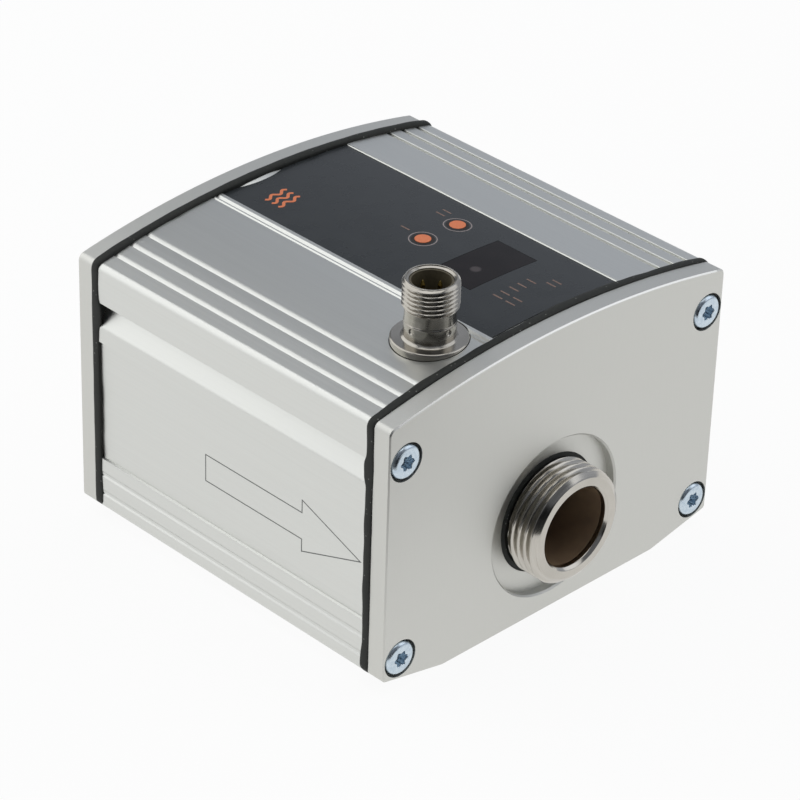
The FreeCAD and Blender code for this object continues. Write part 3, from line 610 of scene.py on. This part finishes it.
for end, side in (("inlet", -1), ("outlet", 1)):
    piece = grid_object(end + "_threaded_fitting", [fitting_grid(side)])
    dress(piece, stainless, "meter_body", "stainless_steel", end + "_fitting")

# %% [markdown]
# ## Plug connector
# A nickel-plated shell with an M12 x 1 thread that the cable's nut screws onto, a plain shank, a
# band with two drilled dimples for a pin wrench, and a round flange. It is the same kind of surface
# as the fitting. A small step inside the rim draws a second ring of light. Each dimple is a smooth
# dent: the radius drops inside a small circle on the band.

# %% Blank of the shell
plug_thread_radius = 6.0
plug_thread_start = 6.7
plug_lead = 0.5
plug_chamfer = 0.6
shank_radius = 5.38
band_radius = 5.5
band_drop = (9.4, 13.0)
band_flare = 0.5
flange_drop = (13.5, 15.4)
edge_break = 0.25
socket_radius = 4.6
socket_lip = (3.9, 2.0)
rim_radius = 5.1
rim_step = 0.25
rim_foot = 0.5
shell_top = shell_high[2]
shell_foot = shell_low[2]
shell_centre = (shell_low[:2] + shell_high[:2]) / 2
flange_radius = (shell_high[0] - shell_low[0]) / 2
flange_top, flange_bottom = (shell_top - drop for drop in flange_drop)
band_top, band_bottom = (shell_top - drop for drop in band_drop)
plug_thread_foot = shell_top - plug_thread_start


def shell_profile():
    """Closed (height, radius) outline of the turned shell, up the outside and down the socket."""
    lip_radius, lip_height = socket_lip
    return [(shell_foot, lip_radius), (shell_foot, plug_thread_radius),
            (flange_bottom, plug_thread_radius), (flange_bottom, flange_radius),
            (flange_top - edge_break, flange_radius), (flange_top, flange_radius - edge_break),
            (flange_top, band_radius + band_flare), (band_bottom, band_radius),
            (band_top - edge_break, band_radius), (band_top, shank_radius),
            (plug_thread_foot, shank_radius), (plug_thread_foot + plug_lead, plug_thread_radius),
            (shell_top - plug_chamfer, plug_thread_radius), (shell_top, plug_thread_radius - plug_chamfer),
            (shell_top, rim_radius), (shell_top - rim_step, rim_radius),
            (shell_top - rim_foot, socket_radius), (shell_foot + lip_height, socket_radius),
            (shell_foot + lip_height, lip_radius)]


print("shell with", len(shell_profile()), "corners,", round(shell_top - shell_foot, 2), "mm tall")

# %% Connector shell
plug_pitch = 1.0
plug_thread_depth = 0.58
plug_thread_rows = 14
plug_phase = 0.3
shell_edge = 0.1
band_row_step = 0.16
dimple_angles = (0.0, 1.5 * np.pi)
dimple_radius = 0.55
dimple_depth = 0.32
dimple_drop = 1.3
dimple_blend = 0.18


def shell_grid(columns=288):
    """Shell's profile carried round its axis, with the helix cut above the shank and two dimples."""
    path = softened(shell_profile(), shell_edge)
    path = refined(path, plug_pitch / plug_thread_rows, plug_thread_foot, shell_top, shank_radius)
    path = refined(path, band_row_step, band_bottom, band_top, shank_radius)
    height, blank = path[:, :1], path[:, 1:]
    angle = np.linspace(0, 2 * np.pi, columns, endpoint=False)[None, :]
    turns = (height - plug_thread_foot) / plug_pitch + plug_phase - angle / (2 * np.pi)
    helix = plug_thread_radius - plug_thread_depth * (1 - thread_form(turns))
    threaded = (height > plug_thread_foot) & (blank > shank_radius)
    radius = np.where(threaded, np.minimum(blank, np.maximum(helix, shank_radius)), blank)
    for spot in dimple_angles:
        sideways = band_radius * ((angle - spot + np.pi) % (2 * np.pi) - np.pi)
        distance = np.hypot(sideways, height - (band_top - dimple_drop))
        dent = np.clip((dimple_radius - distance) / dimple_blend + 0.5, 0, 1)
        radius = radius - np.where(blank > shank_radius, dimple_depth * dent, 0)
    x = shell_centre[0] + radius * np.cos(angle)
    y = shell_centre[1] + radius * np.sin(angle)
    return np.stack([x, y, np.broadcast_to(height, radius.shape)], axis=-1)


piece = grid_object("threaded_connector_shell", [shell_grid()])
dress(piece, nickel, "meter_body", "nickel_plate", "connector_shell")

# %% [markdown]
# ## Plate screws
# Low round-headed machine screws with a six-lobed recess. In polar form the recess is easy: its
# radius swings six times in one turn. Rows run from the recess floor over the head, down the shank
# to its tip, and both ends close on the axis.

# %% Six-lobed screws
screw_reach = 44.75
screw_heights = (7.753, 55.499)
screw_spots = [(side * screw_reach, height) for side in (-1, 1) for height in screw_heights]
head_seat = 45.1
head_radius = 3.9
head_height = 3.1
head_edge = 0.1
dome_start = 2.75
dome_drop = 1.15
dome_rows = 12
stem_radius = 2.0
stem_length = 14.0
stem_chamfer = 0.4
lobe_radius = 1.6
lobe_swing = 0.24
recess_depth = 2.0
recess_edge = 0.12
# Rows of the recess floor: the lift above it in mm, and the share of the lobes' radius.
recess_floor = ((0.0, 0.0), (0.0, 0.45), (0.1, 0.97))


def screw_grid(side, spot, columns=96):
    """(along, radius) rows carried round the screw's axis; the first rows follow the six-lobed recess."""
    angle = np.linspace(0, 2 * np.pi, columns, endpoint=False)[None, :]
    lobes = lobe_radius + lobe_swing * np.cos(6 * angle)
    floor = head_height - recess_depth
    dome = np.linspace(0, np.pi / 2, dome_rows)
    dome_radius = dome_start + (head_radius - dome_start) * np.sin(dome)
    dome_along = head_height - dome_drop * (1 - np.cos(dome))
    recess = [(floor + lift, share * lobes) for lift, share in recess_floor]
    recess += [(head_height - recess_edge, lobes), (head_height, lobes + recess_edge)]
    stem = [(head_edge, head_radius), (0.0, head_radius - head_edge), (0.0, stem_radius),
            (stem_chamfer - stem_length, stem_radius), (-stem_length, stem_radius - stem_chamfer),
            (-stem_length, 0.0)]
    rows = recess + list(zip(dome_along, dome_radius)) + stem
    along = np.stack([np.broadcast_to(a, angle.shape)[0] for a, _ in rows])
    radius = np.stack([np.broadcast_to(r, angle.shape)[0] for _, r in rows])
    x = side * (head_seat + along)
    y = spot[0] + radius * np.cos(angle)
    return np.stack([x, y, spot[1] + radius * np.sin(angle)], axis=-1)


for end, side in (("inlet", -1), ("outlet", 1)):
    grids = [screw_grid(side, spot) for spot in screw_spots]
    piece = grid_object(end + "_six_lobe_screws", grids, wrap_rows=False)
    dress(piece, zinc, "meter_body", "zinc_steel", end + "_plate_screws")

# %% [markdown]
# ## Squeezed gasket lips
# The plates squeeze the flat gaskets, and a soft lip of rubber bulges out all round the joint. It is
# a low bead: half an ellipse across, carried along the housing's outline. Rubber never squeezes out
# evenly, so its height and its edges wander by a few tenths of a millimetre, in waves that add up
# from sines and so repeat exactly. At the side grooves there is room, and it swells into them.

# %% Outline of the housing
base_flat = 64.0
base_corner = 3.6
arc_points = 81
lip_step = 0.4
corner_blend = 3.6


def housing_outline():
    """Closed (y, z) loop of even steps round the section; a running mean rounds its corners."""
    arc_y = np.linspace(half_width, -half_width, arc_points)
    arc = np.column_stack([arc_y, crown_height(arc_y)])
    base = [(-half_width, base_corner), (-base_flat / 2, 0.0),
            (base_flat / 2, 0.0), (half_width, base_corner)]
    loop = np.vstack([arc, base, arc[:1]])
    length = np.concatenate([[0], np.cumsum(np.linalg.norm(np.diff(loop, axis=0), axis=1))])
    even = np.linspace(0, length[-1], int(length[-1] / lip_step), endpoint=False)
    points = np.column_stack([np.interp(even, length, loop[:, i]) for i in (0, 1)])
    reach = int(corner_blend / lip_step / 2)
    return np.mean([np.roll(points, shift, axis=0) for shift in range(-reach, reach + 1)], axis=0)


print("outline of", len(housing_outline()), "points")

# %% Edges and height of a lip
# Each ripple has its share of the wave, its count of crests and its share of the phase.
ripples = ((0.5, 7, 1.0), (0.3, 17, 2.1), (0.2, 41, 3.7))
bead_height = 0.3
height_wander = 0.12
edge_wander = (0.24, 0.05)
wander_shift = 60
crown_blend = 2.0
base_clear = (0.3, 1.5)
groove_middle = 52.4
groove_half = 3.0
groove_swell = (0.8, 0.1)
foot_middle = 5.0
foot_half = 4.5
foot_swell = 0.45
seat_entry = 1.5
seat_exit = 9.0
fold_start = -4.0
fold_length = 9.0
fold_least = 0.25
plate_tuck = 0.02


def lip_shape(loop, phase, spread, drape, crown_lift):
    """Inner edge, outer edge and height of the bead, and how far the film's seat is under it.

    Each is a base value plus waves, with more where the bead meets a groove, the foot or the seat.
    spread is how far the bead covers the housing beyond the joint, drape how much further it sags
    into the seat, and crown_lift how much higher it stands on the crown.
    """
    y, z = loop.T
    t = np.linspace(0, 2 * np.pi, len(loop), endpoint=False)
    wave = sum(size * np.sin(count * t + shift * phase) for size, count, shift in ripples)
    crown = ramp(z, side_height - crown_blend / 2, crown_blend)
    swell = np.exp(-((z - groove_middle) / groove_half) ** 4) * (1 - crown)
    foot = np.exp(-((z - foot_middle) / foot_half) ** 2)
    in_seat = crown * ramp(y, film_low[1], seat_entry) * ramp(y, film_high[1], -seat_exit)
    fold = fold_least + (1 - fold_least) * smooth(ramp(y, fold_start, fold_length))
    height = (bead_height + crown_lift * crown + height_wander * wave) * ramp(z, *base_clear)
    inner = gasket_low[0] - spread - edge_wander[0] * wave - groove_swell[0] * swell
    inner = inner - foot_swell * foot - drape * in_seat * fold
    outer = gasket_high[0] - plate_tuck + edge_wander[1] * np.roll(wave, wander_shift)
    outer = outer + groove_swell[1] * swell
    return inner, outer, height, in_seat


print("waves of", [count for _, count, _ in ripples], "crests round the outline")

# %% Gasket lips
bead_columns = 13
bead_power = 0.7
bead_sink = 0.3
seat_sink = 0.35
foot_inset = (0.25, 0.1)
# Each lip has its side, then the phase, spread, drape and crown lift of its shape.
lips = {"inlet": (-1, 0.7, 0.1, 0.15, 0.6), "outlet": (1, 2.3, 0.05, 0.3, 0.2)}


def lip_grid(side, *shape):
    """Half-ellipse bead on the outline: x across the joint, height along the outward normal."""
    loop = housing_outline()
    inner, outer, height, in_seat = (row[:, None] for row in lip_shape(loop, *shape))
    along = np.roll(loop, -1, axis=0) - np.roll(loop, 1, axis=0)
    along /= np.linalg.norm(along, axis=1, keepdims=True)
    angle = np.linspace(0, np.pi, bead_columns)[None, :]
    across = (inner + outer) / 2 - (outer - inner) / 2 * np.cos(angle)
    across = np.hstack([across, outer - foot_inset[0], inner + foot_inset[1]])
    rise = height * np.sin(angle) ** bead_power
    rise = np.hstack([rise, np.full_like(height, -bead_sink), -bead_sink - seat_sink * in_seat])
    y = loop[:, :1] + along[:, 1:] * rise
    z = loop[:, 1:] - along[:, :1] * rise
    return np.stack([side * across, y, z], axis=-1)


for end, (side, *shape) in lips.items():
    piece = grid_object(end + "_gasket_lip", [lip_grid(side, *shape)], crease=60.0)
    dress(piece, rubber, "meter_body", "black_rubber")

# %% [markdown]
# ## Tail of the film
# The film runs on to the squeezed gasket at the inlet end, but it was cut a little short there: over
# part of its width a thin sliver of the bare seat shows. The tail is an arched sheet that carries on
# from the film's edge, and its own edge draws back from the rubber in a shallow bow. In the bow the
# bare metal slopes up to the gasket, so it catches the light.

# %% Film tail
tail_thickness = 0.25
bow_span = (-10.5, 4.0)
bow_depth = 1.4
tail_points = 75
tail_y = np.linspace(film_high[1], film_low[1], tail_points)
bow_share = ramp(tail_y, bow_span[0], bow_span[1] - bow_span[0])
bow = bow_depth * 4 * bow_share * (1 - bow_share)
tail_end = housing_low[0] + bow
tail_x = np.column_stack([tail_end, tail_end, np.full((len(tail_y), 2), film_low[0])])
tail_drop = film_drop + np.array([[tail_thickness, 0.0, 0.0, tail_thickness]])
tail_rows = np.repeat(tail_y[:, None], 4, axis=1)
tail = np.stack([tail_x, tail_rows, crown_height(tail_rows, tail_drop)], axis=-1)
piece = grid_object("film_tail", [tail], wrap_rows=False)
dress(piece, film, "meter_body", "panel_film")

# %% Bare end of the seat
ramp_slope = 0.4
ramp_thickness = 0.1
seat_end = np.full_like(bow, housing_low[0])
ramp_x = np.column_stack([tail_end, seat_end, seat_end, tail_end])
ramp_drop = film_drop + tail_thickness - np.outer(bow, [0.0, ramp_slope, 0.0, 0.0])
ramp_drop += np.array([[0.0, 0.0, ramp_thickness, ramp_thickness]])
bare_end = np.stack([ramp_x, tail_rows, crown_height(tail_rows, ramp_drop)], axis=-1)
piece = grid_object("seat_end_ramp", [bare_end[bow > 0]], wrap_rows=False)
dress(piece, extrusion, "meter_body", "anodised_aluminium")

# %% [markdown]
# ## Bright edges
# Where a flute or the film's seat has a wall that leans towards the window, a thin line of light runs
# along it. Bars along the housing set how wide each line is. On the far side of the crown, and in the
# seat, a wedge lies against the far edge, and its bevel is the bright line. On the near side a bar
# carries the land on a little way over each flute, so that less of the leaning wall shows. Low on the
# long sides a strip a hair below the skin closes the upper half of each flute, and the gap above it
# draws the thin dark line. The ledge under the recessed panel gets a low bevel in the same way.


# %% Bars along the housing
edge_sink = 0.12


def bar_grid(section):
    """Four-cornered (y, z) section carried along X from one end of the housing to the other."""
    corners = np.asarray(section, float)
    ends = np.array([housing_low[0], housing_high[0]])
    x = np.repeat(ends[:, None], len(corners), axis=1)
    y, z = np.repeat(corners.T[:, None], len(ends), axis=1)
    return np.stack([x, y, z], axis=-1)


def bars(name, sections):
    """One piece made of bars with these sections, in the housing's own metal."""
    piece = grid_object(name, [bar_grid(section) for section in sections], wrap_rows=False)
    dress(piece, extrusion, "meter_body", "anodised_aluminium")


print("bars", round(housing_high[0] - housing_low[0], 2), "mm long")

# %% Seat and crown flutes
seat_gap = 0.2
seat_wall = 0.24
seat_bevel = (0.16, 0.17)
flute_insets = np.array([14.65, 10.15, 5.65])
flute_opening = 1.29
flute_bevel = (0.08, 0.11)
flute_trim = 0.36
flank_lean = 1.6
flank_depth = 0.54


def bevel_section(top_y, top_z, width, rise):
    """Section of a wedge whose bevel runs from (top_y - width, top_z - rise) up to the top."""
    foot_y, foot_z = top_y - width, top_z - rise
    return [(foot_y, foot_z - edge_sink), (foot_y, foot_z), (top_y, top_z), (top_y, foot_z - edge_sink)]


def flank_section(edge):
    """Section of a bar that carries the land on from its edge, then falls as the flute's wall does."""
    top_y = edge - flute_trim
    top_z = crown_height(top_y)
    return [(top_y - flank_lean * flank_depth, top_z - flank_depth), (top_y, top_z),
            (edge, crown_height(edge)), (edge, top_z - flank_depth)]


seat_top = crown_height(film_high[1], film_drop) + seat_wall
edges = [bevel_section(film_high[1] + seat_gap, seat_top, *seat_bevel)]
far_edges = half_width - flute_insets + flute_opening
edges += [bevel_section(edge, crown_height(edge), *flute_bevel) for edge in far_edges]
edges += [flank_section(edge) for edge in flute_insets - half_width]
bars("bright_edges", edges)

# %% Side flutes and panel ledge
side_flute_edges = (11.55, 6.85)
strip_depth = (0.06, 0.6)
strip_rise = (0.6, 1.25)
panel_recess = 0.5
panel_bottom = 16.2
ledge_rise = 0.2
ledge_inset = 0.01


def strip_section(side, edge_height):
    """Section of a flat strip that closes the upper part of a side flute above its bright edge."""
    face, back = (side * (half_width - depth) for depth in strip_depth)
    low, high = (edge_height + rise for rise in strip_rise)
    return [(back, low), (face, low), (face, high), (back, high)]


def ledge_section(side):
    """Section of the low bevel on the ledge under the recessed panel."""
    outer, inner = side * (half_width - ledge_inset), side * (half_width - panel_recess)
    return [(inner, panel_bottom - edge_sink), (outer, panel_bottom - edge_sink),
            (outer, panel_bottom), (inner, panel_bottom + ledge_rise)]


strips = [strip_section(side, height) for side in (-1, 1) for height in side_flute_edges]
strips += [ledge_section(side) for side in (-1, 1)]
bars("side_flute_strips", strips)

# %% [markdown]
# ## Bright plate edges
# Each plate's arched front edge has a narrow chamfer, cut after the satin finish, so it is glossier
# than the face and draws a fine white line. A thin skin just proud of the chamfer carries that
# finish: a narrow strip across, repeated along the crown's arc.

# %% Bright cut edges
bright_cut, *_ = finish("bright_cut_aluminium", ("#DCDCD8", "#E0E0DC"), 1.0, (0.2, 0.26),
                        (0.5, 3.0, 0.5), 0.0002)
edge_chamfer = 0.3
edge_lift = 0.01
edge_inset = 2.5
edge_points = 61
edge_y = np.linspace(half_width - edge_inset, edge_inset - half_width, edge_points)[:, None]
edge_back = np.array([[edge_chamfer - edge_lift, -edge_lift, edge_lift, edge_chamfer + edge_lift]])
edge_drop = np.array([[-edge_lift, edge_chamfer - edge_lift, edge_chamfer + edge_lift, edge_lift]])
edge_x = np.repeat(plate_face - edge_back, len(edge_y), axis=0)
edge_z = crown_height(edge_y, edge_drop)
skins = [np.stack([side * edge_x, np.broadcast_to(edge_y, edge_x.shape), edge_z], axis=-1)
         for side in (-1, 1)]
piece = grid_object("bright_plate_edges", skins, wrap_rows=False)
dress(piece, bright_cut, "meter_body", "satin_plate")

# %% [markdown]
# ## Print
# Ink is a thin raised skin: a flat strip carried along a path, a few hundredths of a millimetre
# thick, that lies on its surface. The panel has a ring round each key, short ticks beside the
# window and a sign of three waves; the long side has the outline of an arrow that points with the
# flow.

# %% Print strips
ink_thickness = 0.02
least_mitre = 0.35


def strip_grid(path, width, closed):
    """(u, v, height) grid of a flat strip along a path, four points across, mitred at its corners."""
    spots = np.asarray(path, float)
    if closed:
        ahead, behind = np.roll(spots, -1, axis=0) - spots, spots - np.roll(spots, 1, axis=0)
    else:
        ahead = np.vstack([np.diff(spots, axis=0), spots[-1:] - spots[-2:-1]])
        behind = np.vstack([spots[1:2] - spots[:1], np.diff(spots, axis=0)])
    ahead /= np.linalg.norm(ahead, axis=1, keepdims=True)
    behind /= np.linalg.norm(behind, axis=1, keepdims=True)
    normal = np.column_stack([-(ahead + behind)[:, 1], (ahead + behind)[:, 0]])
    normal /= np.linalg.norm(normal, axis=1, keepdims=True)
    lean = np.abs(normal[:, :1] * -behind[:, 1:] + normal[:, 1:] * behind[:, :1])
    side = normal / np.maximum(lean, least_mitre) * width / 2
    flat = np.stack([spots - side, spots + side, spots + side, spots - side], axis=1)
    height = np.broadcast_to([ink_thickness, ink_thickness, -ink_thickness, -ink_thickness], flat.shape[:2])
    return np.concatenate([flat, height[..., None]], axis=-1)


def on_film(grid):
    """Lays (x, y, height) onto the film's arched top."""
    x, y, rise = np.moveaxis(grid, -1, 0)
    return np.stack([x, y, crown_height(y, film_drop) + rise], axis=-1)


def on_side(grid):
    """Lays (x, z, height) onto the recessed panel of the long side, facing -Y."""
    x, z, rise = np.moveaxis(grid, -1, 0)
    return np.stack([x, panel_recess - half_width - rise, z], axis=-1)


print("ink", ink_thickness, "mm thick")

# %% Inks
dull_ink, *_ = finish("dull_orange_ink", ("#7A6258", "#8E7468"), 0.0, (0.5, 0.6), (0.4, 0.4, 0.4), 0.004)
pale_ink, *_ = finish("pale_grey_ink", ("#8F8583", "#A39997"), 0.0, (0.5, 0.6), (0.4, 0.4, 0.4), 0.004)
dark_ink, *_ = finish("dark_brown_ink", ("#1D1815", "#241E1A"), 0.0, (0.5, 0.6), (0.4, 0.4, 0.4), 0.004)
grey_ink, *_ = finish("grey_laser_mark", ("#6E706E", "#80827F"), 0.0, (0.5, 0.65), (0.3, 0.3, 0.3), 0.004)
print("four inks, the last for the long side")

# %% Rings and halos round the keys
ring_points = 72
around = np.linspace(0, 2 * np.pi, ring_points, endpoint=False)
circle = np.column_stack([np.cos(around), np.sin(around)])
key_spots = [(box_mm(key)[0] + box_mm(key)[1])[:2] / 2 for key in ("mode_key", "set_key")]
for name, radius, width, ink in (("key_rings", 3.05, 0.24, pale_ink), ("key_halos", 2.2, 0.7, dark_ink)):
    rings = [on_film(strip_grid(spot + radius * circle, width, True)) for spot in key_spots]
    dress(grid_object(name, rings), ink, "meter_body", "panel_film")

# %% Ticks beside the window
tick_length = 2.6
tick_width = 0.36
# Each row of ticks has its x, then the y of every tick.
tick_rows = {28.6: (-1.6, 0.6, 3.2, 5.6, 8.4), 32.2: (-1.6, 0.6, 10.6, 12.4), -5.2: (15.2, 17.2, 4.6)}
ticks = [[(x, y), (x + tick_length / 2, y), (x + tick_length, y)]
         for x, row in tick_rows.items() for y in row]
grids = [on_film(strip_grid(tick, tick_width, False)) for tick in ticks]
dress(grid_object("panel_ticks", grids, wrap_rows=False), dull_ink, "meter_body", "panel_film")

# %% Wave sign
wave_centre = (-31.0, -6.0)
wave_length = 3.2
wave_swing = 0.55
wave_gap = 2.1
wave_line = 0.7
wave_points = 49
crosswise = np.linspace(-wave_length, wave_length, wave_points)
sway = wave_swing * np.sin(crosswise / wave_length * 2 * np.pi)
waves = [np.column_stack([wave_centre[0] + gap + sway, wave_centre[1] + crosswise])
         for gap in (-wave_gap, 0.0, wave_gap)]
grids = [on_film(strip_grid(wave, wave_line, False)) for wave in waves]
dress(grid_object("wave_sign", grids, wrap_rows=False), orange, "meter_body", "panel_film")

# %% Flow arrow on the side
arrow_line = 0.24
arrow_tail = -7.5
arrow_neck = 22.3
arrow_tip = 39.8
tip_height = 29.5
shaft_low, shaft_high = 26.4, 32.9
barb_low, barb_high = 23.4, 36.0
arrow = [(arrow_tail, shaft_low), (arrow_neck, shaft_low), (arrow_neck, barb_low),
         (arrow_tip, tip_height), (arrow_neck, barb_high), (arrow_neck, shaft_high),
         (arrow_tail, shaft_high)]
piece = grid_object("flow_arrow", [on_side(strip_grid(arrow, arrow_line, True))])
dress(piece, grey_ink, "meter_body", "anodised_aluminium")

# %% [markdown]
# ## Render settings
# The Standard view shows a colour about as it is written. The dress must not change the meter's size:
# only the soft lips stand a little proud.

# %% Render settings
bpy.context.scene.view_settings.view_transform = "Standard"
